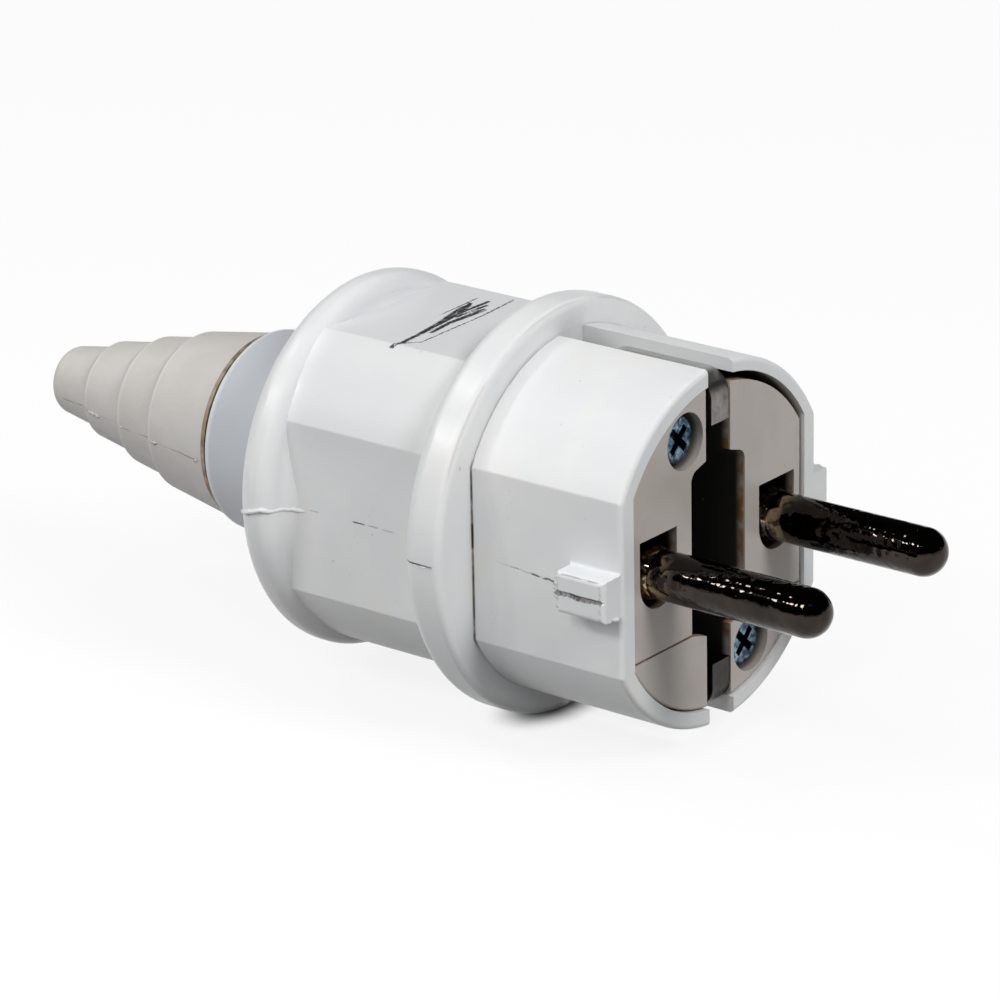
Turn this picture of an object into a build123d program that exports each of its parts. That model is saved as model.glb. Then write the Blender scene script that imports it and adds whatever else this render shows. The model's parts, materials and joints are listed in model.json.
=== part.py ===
from build123d import *
import os

# A straight two-pin earthed mains plug. Sizes are in millimetres. The origin is the centre of the
# contact face, X runs out along the pins, Y along the row of pins and Z up.

# Contact pins and their pillar terminals
pin_diameter = 4.8
pin_reach = 19.0
pin_root_rise = 0.35
pin_root_setback = 0.6
pin_collar_rise = 0.5
pin_collar_length = 3.0
pin_waist_length = 3.0
pin_waist_cut = 0.3
terminal_length = 11.0
terminal_flat_drop = 0.5
wire_hole_diameter = 3.2
wire_hole_depth = 8.0
terminal_screw_setback = 6.6
terminal_screw_diameter = 2.8
terminal_screw_length = 3.0
terminal_screw_head_diameter = 4.4
terminal_screw_head_height = 1.8

# Nose that enters the socket
nose_width = 31.2
nose_height = 36.2
nose_length = 17.7
side_flat_height = 17.4
nose_side_wall = 1.9
nose_crown_wall = 1.7
nose_edge_round = 0.5
nose_relief = 0.4
nose_root_groove = 0.2
crease_round = 0.5
lug_length = 5.6
lug_height = 4.1
lug_rise = 2.5
lug_setback = 0.2
lug_offset = 0.35
lug_round = 0.5
lug_root_round = 0.35
lug_seam = 0.35
earth_groove_width = 3.9

# Rings, barrel and neck of the housing
front_ring_diameter = 41.4
front_ring_width = 4.6
front_ring_front_share = 0.3
front_ring_rear_share = 0.62
barrel_length = 18.0
barrel_height = 32.6
barrel_top_flat = 18.0
barrel_bottom_flat = 15.4
barrel_bulge = 0.7
barrel_wall = 2.6
barrel_cavity_round = 7.0
rear_ring_diameter = 38.0
rear_ring_width = 4.0
rear_ring_round_share = 0.45
rear_ring_blend_share = 0.5
rear_ring_blend_sink = 0.1
rear_ring_front_share = 0.42
rear_ring_rear_share = 0.5
shoulder_length = 0.8
shoulder_round = 1.5
neck_root_diameter = 22.8
neck_diameter = 20.6
neck_length = 11.0
neck_edge_round = 0.4
neck_bore = 14.8
screw_boss_diameter = 6.6
screw_boss_length = 14.0

# Cable boot
boot_base_diameter = 19.8
boot_tip_diameter = 6.8
boot_joint_gap = 0.35
boot_tier_lengths = (9.4, 5.6, 6.0, 6.4)
boot_step = 0.6
boot_step_round = 0.15
boot_step_round_share = 0.8
boot_tip_round_share = 0.9
boot_spigot_length = 7.0
boot_spigot_wall = 1.8
boot_lip_rise = 0.7
boot_lip_length = 1.8
boot_clearance = 0.1
cable_bore = 4.0
cable_bore_length = 8.0

# Two-piece pin carrier
carrier_recess = 0.3
carrier_length = 17.9
carrier_side_clearance = 0.2
carrier_crown_clearance = 0.15
carrier_relief = 0.4
relief_depth = 6.0
carrier_pin_wall = 1.0
carrier_boss_clearance = 0.5
carrier_split_gap = 0.16
carrier_front_wall = 2.2
carrier_edge_round = 0.3
pin_opening_clearance = 0.15
pin_opening_headroom = 1.45
pin_opening_footroom = 1.0
pin_bore_clearance = 0.1
slot_width = 8.6
slot_screw_wall = 0.8
slot_shoulder_rise = 0.7
slot_corner = 1.2
strap_slot_width = 3.9
screw_inset = 4.6
screw_slot_wall = 0.45
screw_recess_clearance = 0.3
screw_recess_depth = 2.7
lock_overhang = 0.1
lock_clearance = 0.15
tail_clearance = 1.8
tail_overhang = 0.1
tail_thickness = 2.8

# Earth strap and its terminal
strap_width = 2.8
strap_thickness = 0.8
strap_depth = 14.0
strap_sink = 1.2
strap_bend_radius = 1.6
strap_hook_length = 4.8
strap_recess = 0.1
strap_shift = 0.5
earth_pad_clearance = 0.9
earth_pad_height = 9.0
earth_screw_diameter = 4.0
earth_screw_length = 5.0
earth_screw_head_diameter = 6.4
earth_screw_head_height = 2.2
earth_washer_inset = 0.1
earth_washer_thickness = 1.2

# Carrier screws and cord clamp
carrier_screw_diameter = 2.9
carrier_screw_grip = 9.0
carrier_screw_head_diameter = 5.0
carrier_screw_head_height = 1.9
clamp_inset = 5.1
clamp_width = 6.0
clamp_post_diameter = 4.4
clamp_post_height = 3.6
clamp_thickness = 2.0
clamp_arch_diameter = 8.4
clamp_screw_diameter = 2.9
clamp_screw_length = 5.6
clamp_screw_head_diameter = 4.2
clamp_screw_head_height = 1.8
drive_width = 0.8
drive_depth = 1.1
cross_share = 0.62
drive_turn = 45.0
shank_point_share = 0.16
head_round = 0.5
thread_clearance = 0.05
shank_clearance = 0.2

# Places that several pieces share
# The pins stand as far apart as the nose and its walls leave room for: 19 mm, the standard spacing.
pin_body_diameter = pin_diameter + 2 * pin_collar_rise
pin_side_wall = nose_side_wall + carrier_side_clearance + carrier_pin_wall + pin_bore_clearance
pin_spacing = nose_width - pin_body_diameter - 2 * pin_side_wall
pin_root_diameter = pin_diameter + 2 * pin_root_rise
pin_waist_diameter = pin_diameter - 2 * pin_waist_cut
pin_opening_width = pin_root_diameter + 2 * pin_opening_clearance
pin_opening_top = pin_diameter / 2 + pin_opening_headroom
pin_opening_bottom = -pin_diameter / 2 - pin_opening_footroom
cavity_width = nose_width - 2 * nose_side_wall
cavity_height = nose_height - 2 * nose_crown_wall
screw_recess_diameter = carrier_screw_head_diameter + 2 * screw_recess_clearance
screw_offset_y = (strap_slot_width + screw_recess_diameter) / 2 + screw_slot_wall
screw_offset_z = cavity_height / 2 - screw_inset
slot_top = screw_offset_z - screw_recess_diameter / 2 - slot_screw_wall
carrier_split_z = screw_boss_diameter / 2 + carrier_boss_clearance - screw_offset_z
lock_width = pin_body_diameter + 2 * lock_overhang
strap_span = nose_height - 2 * strap_sink
earth_pad_width = slot_width - 2 * earth_pad_clearance
earth_washer_size = earth_pad_width - 2 * earth_washer_inset
ring_front_x = -nose_length
ring_rear_x = ring_front_x - front_ring_width
bead_front_x = ring_rear_x - barrel_length
bead_rear_x = bead_front_x - rear_ring_width
shoulder_end_x = bead_rear_x - shoulder_length
neck_end_x = shoulder_end_x - neck_length
spigot_end_x = neck_end_x + boot_spigot_length
carrier_face_x = -carrier_recess
carrier_seat_x = carrier_face_x - carrier_length
pin_root_x = carrier_face_x - pin_root_setback
collar_front_x = carrier_face_x - carrier_front_wall
collar_rear_x = collar_front_x - pin_collar_length
waist_rear_x = collar_rear_x - pin_waist_length
terminal_rear_x = carrier_seat_x - terminal_length
terminal_screw_x = carrier_seat_x - terminal_screw_setback
terminal_flat_z = pin_body_diameter / 2 - terminal_flat_drop
screw_seat_x = carrier_face_x - screw_recess_depth
carrier_screw_end_x = carrier_seat_x - carrier_screw_grip
strap_front_x = carrier_face_x - strap_recess
strap_rear_x = strap_front_x - strap_depth
washer_rear_x = strap_rear_x - earth_washer_thickness
clamp_x = bead_front_x + clamp_inset
tail_rear_x = clamp_x - clamp_width / 2 - tail_overhang
tail_bottom_z = carrier_split_z + carrier_split_gap / 2
lower_top_z = carrier_split_z - carrier_split_gap / 2
tail_top_z = tail_bottom_z + tail_thickness
barrel_cavity_width = nose_width - 2 * barrel_wall
tail_width = barrel_cavity_width - 2 * tail_clearance
clamp_screw_spacing = tail_width - clamp_post_diameter
clamp_seat_z = tail_top_z + clamp_post_height
clamp_top_z = clamp_seat_z + clamp_thickness
pin_rows = (-pin_spacing / 2, pin_spacing / 2)
clear_of_all = 2 * front_ring_diameter


def flatted_round(width, height, flat):
    """Cross-section with upright side flats joined by crowned arcs."""
    side, crown, corner = width / 2, height / 2, flat / 2
    outline = Line((side, -corner), (side, corner))
    outline += ThreePointArc((side, corner), (0, crown), (-side, corner))
    outline += Line((-side, corner), (-side, -corner))
    outline += ThreePointArc((-side, -corner), (0, -crown), (side, -corner))
    return make_face(outline)


def barrel_section():
    """Cross-section with upright sides, a level top and bottom, and bulging corners between them."""
    side, corner, top = nose_width / 2, side_flat_height / 2, barrel_height / 2
    outline = Line((side, -corner), (side, corner)) + Line((-side, corner), (-side, -corner))
    for z_way, flat in ((1, barrel_top_flat), (-1, barrel_bottom_flat)):
        edge = flat / 2
        chord = ((side - edge) ** 2 + (top - corner) ** 2) ** 0.5
        y = (side + edge) / 2 + barrel_bulge * (top - corner) / chord
        z = (corner + top) / 2 + barrel_bulge * (side - edge) / chord
        outline += Line((edge, z_way * top), (-edge, z_way * top))
        for y_way in (1, -1):
            outline += ThreePointArc(
                (y_way * side, z_way * corner), (y_way * y, z_way * z), (y_way * edge, z_way * top))
    return make_face(outline)


def across(sketch, start, end):
    """Solid along X with the sketch, drawn in Y and Z, as its cross-section."""
    return extrude(Plane.YZ.offset(start) * sketch, amount=end - start)


def rod(diameter, start, end, y=0.0, z=0.0):
    """Round bar along X."""
    return across(Pos(y, z) * Circle(diameter / 2), start, end)


def post(diameter, x, y, bottom, top):
    """Round bar along Z."""
    return extrude(Pos(x, y, bottom) * Circle(diameter / 2), amount=top - bottom)


def block(x, y, z):
    """Box between the two ends given for each direction."""
    size = [high - low for low, high in (x, y, z)]
    middle = [(high + low) / 2 for low, high in (x, y, z)]
    return Pos(*middle) * Box(*size)


def both_ways(width):
    """The two ends of a width centred on the plug's middle."""
    return (-width / 2, width / 2)


def rounded_outline(points, rounds):
    """Closed outline whose numbered corners are rounded, each by its own radius."""
    sketch = make_face(Polyline(*points, close=True))
    for corner, radius in rounds:
        nearest = sketch.vertices().sort_by_distance((*points[corner], 0))[0]
        sketch = fillet(nearest, radius)
    return sketch


def turned(sketch):
    """Solid of revolution about X from a sketch of radius against X."""
    return revolve(Plane.XZ * sketch, Axis.X)


def make_screw(diameter, length, head_diameter, head_height, slots):
    """Pan-head screw along Z, its head standing on the XY plane and its shank below it."""
    head = extrude(Circle(head_diameter / 2), amount=head_height)
    head = fillet(head.edges().sort_by(Axis.Z)[-1], head_round)
    shank = extrude(Circle(diameter / 2), amount=-length)
    screw = head + chamfer(shank.edges().sort_by(Axis.Z)[0], shank_point_share * diameter)
    slot_length = head_diameter if slots == 1 else cross_share * head_diameter
    slot = Pos(0, 0, head_height) * Rot(0, 0, drive_turn) * Box(slot_length, drive_width, 2 * drive_depth)
    screw -= slot
    return screw - Rot(0, 0, 90) * slot if slots == 2 else screw


def shell_form():
    """Outside of the housing before it is hollowed."""
    nose_section = flatted_round(nose_width, nose_height, side_flat_height)
    nose = across(nose_section, ring_rear_x, 0)
    nose = fillet(nose.edges().filter_by(Axis.X), crease_round)
    nose = fillet(nose.faces().sort_by(Axis.X)[-1].edges(), nose_edge_round)
    barrel = across(barrel_section(), (bead_front_x + bead_rear_x) / 2, ring_front_x)
    barrel = fillet(barrel.edges().filter_by(Axis.X), crease_round)
    ring_radius = front_ring_diameter / 2
    ring_wall = min(ring_radius - nose_height / 2, front_ring_width)
    ring = turned(rounded_outline(
        [(ring_front_x, 0), (ring_front_x, ring_radius), (ring_rear_x, ring_radius), (ring_rear_x, 0)],
        [(1, front_ring_front_share * ring_wall), (2, front_ring_rear_share * ring_wall)]))
    bead_radius = rear_ring_diameter / 2
    blend_radius = nose_width / 2 - rear_ring_blend_sink
    bead_step = bead_radius - blend_radius
    blend_x = bead_front_x + bead_step
    bead_round = min(rear_ring_round_share * bead_step, rear_ring_front_share * rear_ring_width)
    rear = turned(rounded_outline(
        [(blend_x, 0), (blend_x, blend_radius), (bead_front_x, blend_radius), (bead_front_x, bead_radius),
         (bead_rear_x, bead_radius), (shoulder_end_x, neck_root_diameter / 2),
         (neck_end_x, neck_diameter / 2), (neck_end_x, 0)],
        [(2, rear_ring_blend_share * bead_step), (3, bead_round),
         (4, rear_ring_rear_share * rear_ring_width), (5, shoulder_round), (6, neck_edge_round)]))
    return nose + barrel + ring + rear


def side_lug(side):
    """Guide lug on one flat of the nose, with the mould seam as a notch along its tip."""
    root = (nose_width - nose_side_wall) / 2
    tip = nose_width / 2 + lug_rise
    lug = block((-lug_setback - lug_length, -lug_setback), (root, tip), both_ways(lug_height))
    lug = fillet(lug.faces().sort_by(Axis.Y)[-1].edges(), lug_round)
    lug -= Pos(0, tip, 0) * Rot(45, 0, 0) * Box(2 * nose_length, lug_seam, lug_seam)
    lug = Pos(0, 0, lug_offset) * lug
    return lug if side > 0 else Rot(180, 0, 0) * lug


def lug_root_edges(housing):
    """Edges along which the two lugs meet the flats of the nose."""
    flat, reach = nose_width / 2, lug_length + lug_setback
    edges = housing.edges().filter_by(lambda edge: abs(abs(edge.center().Y) - flat) < lug_seam / 2)
    edges = edges.filter_by(lambda edge: edge.center().X > -reach - lug_seam)
    return edges.filter_by(lambda edge: abs(edge.center().Z) < lug_height)


def relief_corner():
    """Upper right corner of the nose, where the carrier stands clear of the housing."""
    return block(both_ways(clear_of_all), (0, clear_of_all), (side_flat_height / 2, clear_of_all))


def make_housing():
    """One-piece sleeve: nose, two rings, flatted barrel and neck, hollow throughout."""
    housing = shell_form() + side_lug(1) + side_lug(-1)
    nose_cavity = flatted_round(cavity_width, cavity_height, side_flat_height)
    housing -= across(nose_cavity, carrier_seat_x, clear_of_all)
    housing -= across(Pos(0, nose_relief) * nose_cavity, -relief_depth, clear_of_all) & relief_corner()
    barrel_cavity_height = barrel_height - 2 * barrel_wall
    barrel_cavity = RectangleRounded(barrel_cavity_width, barrel_cavity_height, barrel_cavity_round)
    housing -= across(barrel_cavity, bead_front_x, carrier_seat_x)
    throat = [(bead_front_x, 0), (bead_front_x, barrel_cavity_width / 2),
              (shoulder_end_x, neck_bore / 2), (neck_end_x, neck_bore / 2), (neck_end_x, 0)]
    housing -= turned(make_face(Polyline(*throat, close=True)))
    lip_groove_rear_x = spigot_end_x - boot_lip_length - boot_clearance
    housing -= rod(neck_bore + 2 * boot_lip_rise, lip_groove_rear_x, spigot_end_x + boot_clearance)
    boss_end_x = carrier_seat_x - screw_boss_length
    roof_z = (barrel_height - barrel_wall) / 2
    thread_diameter = carrier_screw_diameter + 2 * thread_clearance
    for side in (-1, 1):
        y, z = side * screw_offset_y, -side * screw_offset_z
        web_y = (y - screw_boss_diameter / 2, y + screw_boss_diameter / 2)
        web_z = sorted((z, -side * roof_z))
        housing += rod(screw_boss_diameter, boss_end_x, carrier_seat_x, y, z)
        housing += block((boss_end_x, carrier_seat_x), web_y, web_z)
        housing -= rod(thread_diameter, carrier_screw_end_x, carrier_seat_x, y, z)
    sunk = 2 * nose_root_groove
    root = flatted_round(nose_width - sunk, nose_height - sunk, side_flat_height)
    around = Rectangle(clear_of_all, clear_of_all) - root
    housing -= across(around, ring_front_x, ring_front_x + nose_root_groove)
    groove = block((ring_front_x, clear_of_all), both_ways(earth_groove_width), (0, clear_of_all))
    housing -= groove + mirror(groove, Plane.XY)
    return fillet(lug_root_edges(housing), lug_root_round)


def make_boot():
    """Stepped rubber boot with a spigot and lip that snap into the neck."""
    length = sum(boot_tier_lengths)
    steps = len(boot_tier_lengths) - 1
    taper = ((boot_base_diameter - boot_tip_diameter) / 2 - steps * boot_step) / length
    step_round = min(boot_step_round, boot_step_round_share * boot_step)
    x, radius = neck_end_x, boot_base_diameter / 2
    outline = [(x, 0)]
    rounds = []
    for tier_length in boot_tier_lengths:
        outline.append((x, radius))
        x -= tier_length
        radius -= taper * tier_length
        rounds.append((len(outline), step_round))
        outline.append((x, radius))
        radius -= boot_step
    rounds[-1] = (len(outline) - 1, boot_tip_round_share * (boot_tip_diameter - cable_bore) / 2)
    outline.append((x, 0))
    boot = turned(rounded_outline(outline, rounds))
    joint = (neck_end_x - boot_joint_gap, neck_end_x)
    boot -= rod(2 * boot_base_diameter, *joint) - rod(boot_base_diameter - 2 * boot_joint_gap, *joint)
    spigot_diameter = neck_bore - 2 * boot_clearance
    boot += rod(spigot_diameter, neck_end_x, spigot_end_x)
    boot += rod(spigot_diameter + 2 * boot_lip_rise, spigot_end_x - boot_lip_length, spigot_end_x)
    spigot_bore_radius = spigot_diameter / 2 - boot_spigot_wall
    passage = [(x, 0), (x, cable_bore / 2), (x + cable_bore_length, cable_bore / 2),
               (neck_end_x, spigot_bore_radius), (spigot_end_x, spigot_bore_radius), (spigot_end_x, 0)]
    return boot - turned(make_face(Polyline(*passage, close=True)))


def carrier_blank():
    """Both carrier pieces as one block, before the split and the openings."""
    width = cavity_width - 2 * carrier_side_clearance
    height = cavity_height - 2 * carrier_crown_clearance
    section = flatted_round(width, height, side_flat_height)
    blank = across(section, carrier_seat_x, carrier_face_x)
    blank = fillet(blank.faces().sort_by(Axis.X)[-1].edges(), carrier_edge_round)
    beyond = Rectangle(clear_of_all, clear_of_all) - Pos(0, -carrier_relief) * section
    blank -= across(beyond, carrier_face_x - relief_depth, clear_of_all) & relief_corner()
    depth = (strap_rear_x, clear_of_all)
    return blank - block(depth, both_ways(strap_slot_width), both_ways(nose_height))


def screw_way(y, z):
    """Recess and clearance hole for one carrier screw."""
    way = rod(screw_recess_diameter, screw_seat_x, clear_of_all, y, z)
    return way + rod(carrier_screw_diameter + 2 * shank_clearance, carrier_seat_x, screw_seat_x, y, z)


def pin_way(y):
    """Flat-topped opening and round bore for one pin."""
    radius = pin_opening_width / 2
    arc_z = pin_opening_bottom + radius
    opening = Pos(y, arc_z) * Circle(radius)
    opening += Pos(y, (pin_opening_top + arc_z) / 2) * Rectangle(pin_opening_width, pin_opening_top - arc_z)
    way = across(opening, collar_rear_x, clear_of_all)
    return way + rod(pin_body_diameter + 2 * pin_bore_clearance, carrier_seat_x, collar_front_x, y)


def lock_finger(y, clearance):
    """Finger that stands in the waist of one pin, or the pocket for it when given a clearance."""
    x_ends = (waist_rear_x + lock_clearance - clearance, collar_rear_x - lock_clearance + clearance)
    y_ends = (y - lock_width / 2 - clearance, y + lock_width / 2 + clearance)
    return block(x_ends, y_ends, (carrier_split_z - carrier_split_gap, clearance))


def make_upper_carrier():
    """Main carrier piece with the pins, the wide slot and the tail that holds the cord clamp."""
    carrier = carrier_blank() & block(
        both_ways(clear_of_all), both_ways(clear_of_all), (tail_bottom_z, clear_of_all))
    wide, narrow = slot_width / 2, strap_slot_width / 2
    peak = slot_top + slot_shoulder_rise
    slot = [(-wide, tail_bottom_z), (wide, tail_bottom_z), (wide, slot_top), (narrow, peak),
            (-narrow, peak), (-wide, slot_top)]
    slot = rounded_outline(slot, [(2, slot_corner), (5, slot_corner)])
    carrier -= across(slot, carrier_seat_x, clear_of_all)
    carrier -= screw_way(-screw_offset_y, screw_offset_z)
    for y in pin_rows:
        carrier -= pin_way(y)
        carrier -= lock_finger(y, lock_clearance)
    carrier += block((tail_rear_x, carrier_seat_x), both_ways(tail_width), (tail_bottom_z, tail_top_z))
    hole_bottom_z = clamp_top_z - clamp_screw_length
    thread_diameter = clamp_screw_diameter + 2 * thread_clearance
    for y in both_ways(clamp_screw_spacing):
        carrier += post(clamp_post_diameter, clamp_x, y, tail_top_z, clamp_seat_z)
        carrier -= post(thread_diameter, clamp_x, y, hole_bottom_z, clamp_seat_z)
    return carrier


def make_lower_carrier():
    """Lower carrier piece, whose two fingers lock the pins in place."""
    carrier = carrier_blank() & block(
        both_ways(clear_of_all), both_ways(clear_of_all), (-clear_of_all, lower_top_z))
    wide, narrow = slot_width / 2, strap_slot_width / 2
    foot = lower_top_z - slot_shoulder_rise
    shoulders = [(-wide, lower_top_z), (wide, lower_top_z), (narrow, foot), (-narrow, foot)]
    carrier -= across(make_face(Polyline(*shoulders, close=True)), carrier_seat_x, clear_of_all)
    carrier -= screw_way(screw_offset_y, -screw_offset_z)
    for y in pin_rows:
        finger = lock_finger(y, 0)
        carrier += finger - rod(pin_waist_diameter + 2 * lock_clearance, waist_rear_x, collar_rear_x, y)
    return carrier


def make_pin(y):
    """Round-ended pin with a locking waist and a pillar terminal at its rear."""
    pin = rod(pin_diameter, 0, pin_reach - pin_diameter / 2, y)
    pin += Pos(pin_reach - pin_diameter / 2, y, 0) * Sphere(pin_diameter / 2)
    flare = Cone(pin_root_diameter / 2, pin_diameter / 2, -pin_root_x)
    pin += Pos(pin_root_x / 2, y, 0) * Rot(0, 90, 0) * flare
    pin += rod(pin_root_diameter, collar_front_x, pin_root_x, y)
    pin += rod(pin_body_diameter, collar_rear_x, collar_front_x, y)
    pin += rod(pin_waist_diameter, waist_rear_x, collar_rear_x, y)
    terminal = rod(pin_body_diameter, terminal_rear_x, waist_rear_x, y)
    sides = (y - pin_body_diameter, y + pin_body_diameter)
    terminal -= block((terminal_rear_x, carrier_seat_x), sides, (terminal_flat_z, pin_body_diameter))
    terminal -= rod(wire_hole_diameter, terminal_rear_x, terminal_rear_x + wire_hole_depth, y)
    thread_diameter = terminal_screw_diameter + 2 * thread_clearance
    terminal -= post(thread_diameter, terminal_screw_x, y, 0, pin_body_diameter)
    return pin + terminal


def make_terminal_screw(y):
    """Slotted screw standing on the flat of one pillar terminal."""
    screw = make_screw(terminal_screw_diameter, terminal_screw_length, terminal_screw_head_diameter,
                       terminal_screw_head_height, 1)
    return Pos(terminal_screw_x, y, terminal_flat_z) * screw


def make_earth_strap():
    """Bent strip: a cross-bar with a terminal pad, two arms in the grooves and two hooked ends."""
    middle = Pos((strap_front_x + strap_rear_x) / 2, 0)
    outer = RectangleRounded(strap_depth, strap_span, strap_bend_radius + strap_thickness)
    inner = RectangleRounded(
        strap_depth - 2 * strap_thickness, strap_span - 2 * strap_thickness, strap_bend_radius)
    strap = extrude(Plane.XZ * (middle * (outer - inner)), amount=strap_width / 2, both=True)
    front_gap = (strap_front_x - 2 * strap_thickness, clear_of_all)
    strap -= block(front_gap, both_ways(clear_of_all), both_ways(strap_span - 2 * strap_hook_length))
    pad = RectangleRounded(earth_pad_width, earth_pad_height, strap_bend_radius)
    pad -= Circle(earth_screw_diameter / 2 + thread_clearance)
    strap -= rod(earth_pad_width, strap_rear_x, strap_rear_x + strap_thickness)
    strap += across(pad, strap_rear_x, strap_rear_x + strap_thickness)
    return Pos(0, strap_shift, 0) * strap


def make_earth_washer():
    """Square clamp washer for the earth wire."""
    washer = across(Rectangle(earth_washer_size, earth_washer_size), washer_rear_x, strap_rear_x)
    washer -= rod(earth_screw_diameter + 2 * shank_clearance, washer_rear_x, strap_rear_x)
    return Pos(0, strap_shift, 0) * washer


def make_earth_screw():
    """Screw that clamps the washer to the strap from behind."""
    screw = make_screw(earth_screw_diameter, earth_screw_length, earth_screw_head_diameter,
                       earth_screw_head_height, 2)
    return Pos(washer_rear_x, strap_shift, 0) * Rot(0, -90, 0) * screw


def make_carrier_screw(y, z):
    """Cross-head screw that holds one carrier piece to its boss in the housing."""
    screw = make_screw(carrier_screw_diameter, screw_seat_x - carrier_screw_end_x,
                       carrier_screw_head_diameter, carrier_screw_head_height, 2)
    return Pos(screw_seat_x, y, z) * Rot(0, 90, 0) * screw


def make_clamp_saddle():
    """Arched bar that presses the cord onto the carrier's tail."""
    arch_radius = clamp_arch_diameter / 2
    profile = Pos(0, clamp_seat_z + clamp_thickness / 2) * Rectangle(tail_width, clamp_thickness)
    profile += Pos(0, clamp_seat_z) * Circle(arch_radius + clamp_thickness)
    profile -= Pos(0, clamp_seat_z) * Circle(arch_radius)
    profile -= Pos(0, clamp_seat_z - tail_width / 2) * Rectangle(tail_width, tail_width)
    saddle = across(profile, clamp_x - clamp_width / 2, clamp_x + clamp_width / 2)
    for y in both_ways(clamp_screw_spacing):
        saddle -= post(clamp_screw_diameter + 2 * shank_clearance, clamp_x, y, clamp_seat_z, clamp_top_z)
    return saddle


def make_clamp_screw(y):
    """Cross-head screw through one end of the cord clamp."""
    screw = make_screw(clamp_screw_diameter, clamp_screw_length, clamp_screw_head_diameter,
                       clamp_screw_head_height, 2)
    return Pos(clamp_x, y, clamp_top_z) * screw


def main():
    line_y, neutral_y = pin_rows
    left_y, right_y = both_ways(clamp_screw_spacing)
    nodes = {
        "housing": make_housing(),
        "cable_boot": make_boot(),
        "upper_pin_carrier": make_upper_carrier(),
        "lower_pin_carrier": make_lower_carrier(),
        "line_pin": make_pin(line_y),
        "neutral_pin": make_pin(neutral_y),
        "line_terminal_screw": make_terminal_screw(line_y),
        "neutral_terminal_screw": make_terminal_screw(neutral_y),
        "earth_strap": make_earth_strap(),
        "earth_clamp_washer": make_earth_washer(),
        "earth_terminal_screw": make_earth_screw(),
        "upper_carrier_screw": make_carrier_screw(-screw_offset_y, screw_offset_z),
        "lower_carrier_screw": make_carrier_screw(screw_offset_y, -screw_offset_z),
        "cord_clamp_saddle": make_clamp_saddle(),
        "left_cord_clamp_screw": make_clamp_screw(left_y),
        "right_cord_clamp_screw": make_clamp_screw(right_y),
    }
    os.makedirs("parts", exist_ok=True)
    for name, solid in nodes.items():
        export_step(solid, f"parts/{name}.step")


main()
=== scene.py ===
import json
import math
import random

import bpy
from mathutils import Matrix, Vector


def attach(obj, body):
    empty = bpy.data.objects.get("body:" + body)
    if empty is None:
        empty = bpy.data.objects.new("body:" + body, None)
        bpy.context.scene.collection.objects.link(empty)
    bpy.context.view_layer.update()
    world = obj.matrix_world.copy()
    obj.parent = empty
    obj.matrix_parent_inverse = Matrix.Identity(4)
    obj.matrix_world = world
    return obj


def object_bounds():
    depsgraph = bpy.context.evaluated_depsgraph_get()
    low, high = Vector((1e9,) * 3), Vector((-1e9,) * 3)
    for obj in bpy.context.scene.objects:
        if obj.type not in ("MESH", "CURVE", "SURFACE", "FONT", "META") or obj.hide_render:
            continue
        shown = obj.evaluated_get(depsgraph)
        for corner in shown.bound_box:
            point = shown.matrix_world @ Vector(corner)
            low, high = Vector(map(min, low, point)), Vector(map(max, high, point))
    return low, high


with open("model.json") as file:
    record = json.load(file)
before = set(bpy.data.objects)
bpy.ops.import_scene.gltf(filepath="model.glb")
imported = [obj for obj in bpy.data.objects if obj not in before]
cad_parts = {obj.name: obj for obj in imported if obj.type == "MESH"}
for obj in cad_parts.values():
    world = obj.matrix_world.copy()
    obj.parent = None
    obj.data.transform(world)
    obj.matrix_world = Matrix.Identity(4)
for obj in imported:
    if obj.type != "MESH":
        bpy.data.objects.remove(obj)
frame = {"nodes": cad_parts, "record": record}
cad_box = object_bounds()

MM = 0.001
nodes = frame["nodes"]


# Node helpers

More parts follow.
